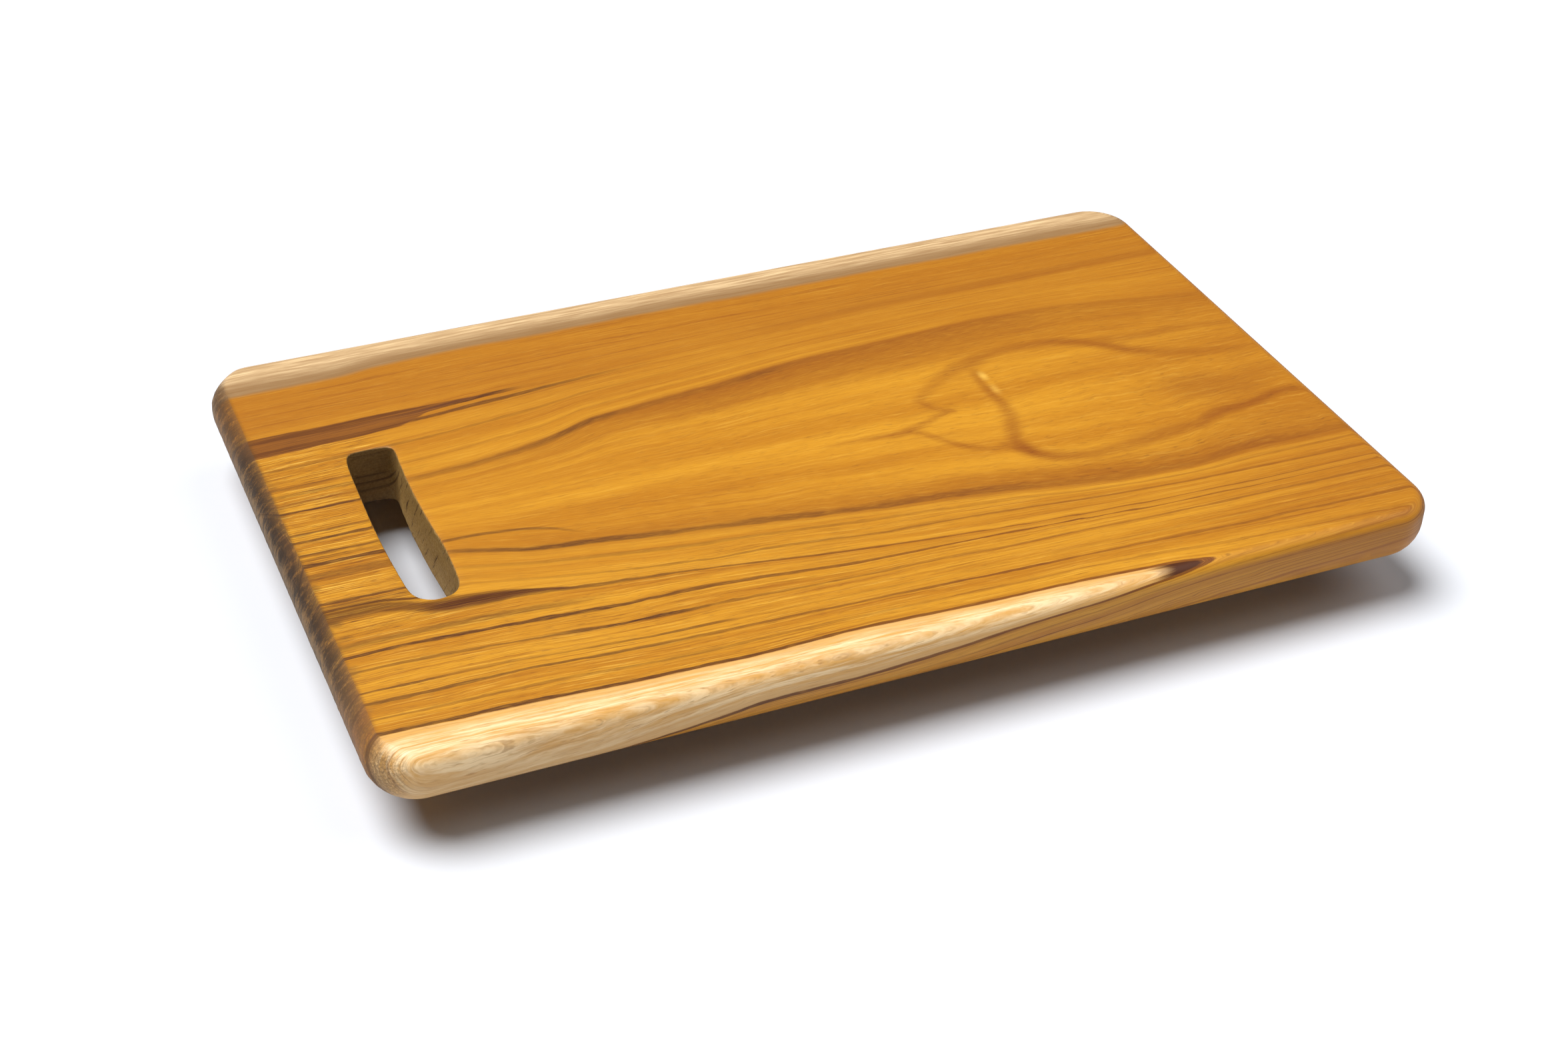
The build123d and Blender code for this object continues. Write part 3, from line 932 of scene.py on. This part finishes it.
# ---- Feet and fasteners ----
def rubber():
    """Black moulded rubber, with a fine matt grain and dusty wear at its foot."""
    n = Nodes("foot_rubber")
    coordinates = n.add("ShaderNodeTexCoord")
    height = n.split(coordinates.outputs["Object"])[2]
    grain = n.noise(coordinates.outputs["Object"], 1800, 2, 0.6)
    dust = n.noise(coordinates.outputs["Object"], 160, 4, 0.6)
    worn = n.times(n.ramp(height, 0.004, 0.0), n.ramp(dust, 0.4, 0.7))
    dusty = n.math("ADD", n.times(worn, 0.6), n.times(dust, 0.15))
    n.feed(n.shader.inputs["Base Color"], n.mix(dusty, RUBBER_BLACK, RUBBER_DUST))
    n.feed(n.shader.inputs["Roughness"], n.math("MULTIPLY_ADD", dust, 0.3, 0.5))
    n.bump(grain, 0.3, 0.0001)
    return n.material


def steel(name, colour, streaks):
    """Zinc-plated steel with turning or rolling marks."""
    n = Nodes(name)
    coordinates = n.add("ShaderNodeTexCoord")
    stretch = n.add("ShaderNodeMapping")
    stretch.inputs["Scale"].default_value = streaks
    n.feed(stretch.inputs["Vector"], coordinates.outputs["Object"])
    marks = n.noise(stretch.outputs[0], 1, 3, 0.6)
    spots = n.noise(coordinates.outputs["Object"], 420, 3, 0.6)
    dull = tuple(c * 0.7 for c in colour)
    n.feed(n.shader.inputs["Base Color"], n.mix(n.ramp(spots, 0.45, 0.7), colour, dull))
    n.shader.inputs["Metallic"].default_value = 1.0
    n.feed(n.shader.inputs["Roughness"], n.math("MULTIPLY_ADD", marks, 0.25, 0.22))
    n.bump(marks, 0.2, 0.00005)
    return n.material


def dress(node, material):
    """Gives a CAD node its material."""
    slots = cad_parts[node].material_slots
    for slot in slots:
        slot.material = material


# ---- Stage ----
FLOOR_HALF = 8.0
KEY_DIRECTION = Vector((-0.33, 0.16, 1.0))
KEY_STRENGTH = 4.45
KEY_ANGLE = math.radians(40)
SIDE_DIRECTION = Vector((0.65, -0.1, 0.85))
SIDE_STRENGTH = 0.8
SIDE_ANGLE = math.radians(50)
BOUNCE_DIRECTION = Vector((0.1, -1.0, 0.12))
BOUNCE_STRENGTH = 0.5
BOUNCE_ANGLE = math.radians(40)
FILL_STRENGTH = 0.02
CAMERA_PLACE = (-0.320, -0.694, 0.543)
CAMERA_TURN = (math.radians(54.60), math.radians(-1.576), math.radians(-23.103))
CAMERA_LENS = 56.1


def floor():
    """A large pale floor at the feet's level."""
    mesh = bpy.data.meshes.new("floor")
    h = FLOOR_HALF
    mesh.from_pydata([(-h, -h, 0), (h, -h, 0), (h, h, 0), (-h, h, 0)], [], [(0, 1, 2, 3)])
    piece = bpy.data.objects.new("floor", mesh)
    bpy.context.scene.collection.objects.link(piece)
    n = Nodes("floor_white")
    n.feed(n.shader.inputs["Base Color"], FLOOR_WHITE)
    n.feed(n.shader.inputs["Roughness"], 0.9)
    n.shader.inputs["Specular IOR Level"].default_value = 0.1
    mesh.materials.append(n.material)


def sun(name, direction, strength, angle):
    """A soft distant light that shines from that direction."""
    data = bpy.data.lights.new(name, "SUN")
    data.energy = strength
    data.angle = angle
    lamp = bpy.data.objects.new(name, data)
    lamp.rotation_mode = "QUATERNION"
    lamp.rotation_quaternion = direction.to_track_quat("Z", "Y")
    bpy.context.scene.collection.objects.link(lamp)


def light():
    """A large soft key from above, weaker lights from the plain end and low in front, and a faint fill."""
    sun("key", KEY_DIRECTION, KEY_STRENGTH, KEY_ANGLE)
    sun("side", SIDE_DIRECTION, SIDE_STRENGTH, SIDE_ANGLE)
    sun("bounce", BOUNCE_DIRECTION, BOUNCE_STRENGTH, BOUNCE_ANGLE)
    world = bpy.data.worlds.new("studio")
    world.use_nodes = True
    tree = world.node_tree
    back = tree.nodes["Background"]
    back.inputs["Color"].default_value = (1, 1, 1, 1)
    path = tree.nodes.new("ShaderNodeLightPath")
    shown = tree.nodes.new("ShaderNodeMath")
    shown.operation = "MAXIMUM"
    shown.inputs[1].default_value = FILL_STRENGTH
    tree.links.new(path.outputs["Is Camera Ray"], shown.inputs[0])
    tree.links.new(shown.outputs[0], back.inputs["Strength"])
    bpy.context.scene.world = world


def camera():
    """The photograph's viewpoint."""
    data = bpy.data.cameras.new("camera")
    data.lens = CAMERA_LENS
    piece = bpy.data.objects.new("camera", data)
    piece.location = CAMERA_PLACE
    piece.rotation_euler = CAMERA_TURN
    bpy.context.scene.collection.objects.link(piece)
    bpy.context.scene.camera = piece


def board():
    """The plank's surface and the materials of the feet and fasteners."""
    plank = plank_surface()
    plank.data.materials.append(teak())
    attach(plank, "root")
    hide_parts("plank")
    finishes = {
        "foot": rubber(),
        "washer": steel("washer_steel", (0.62, 0.62, 0.63), (300, 1500, 300)),
        "screw": steel("screw_steel", (0.66, 0.65, 0.63), (200, 200, 2500)),
    }
    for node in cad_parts:
        kind = node.split("_")[0]
        if kind in finishes:
            dress(node, finishes[kind])


camera()
floor()
light()
board()
bpy.context.scene.view_settings.view_transform = "Standard"
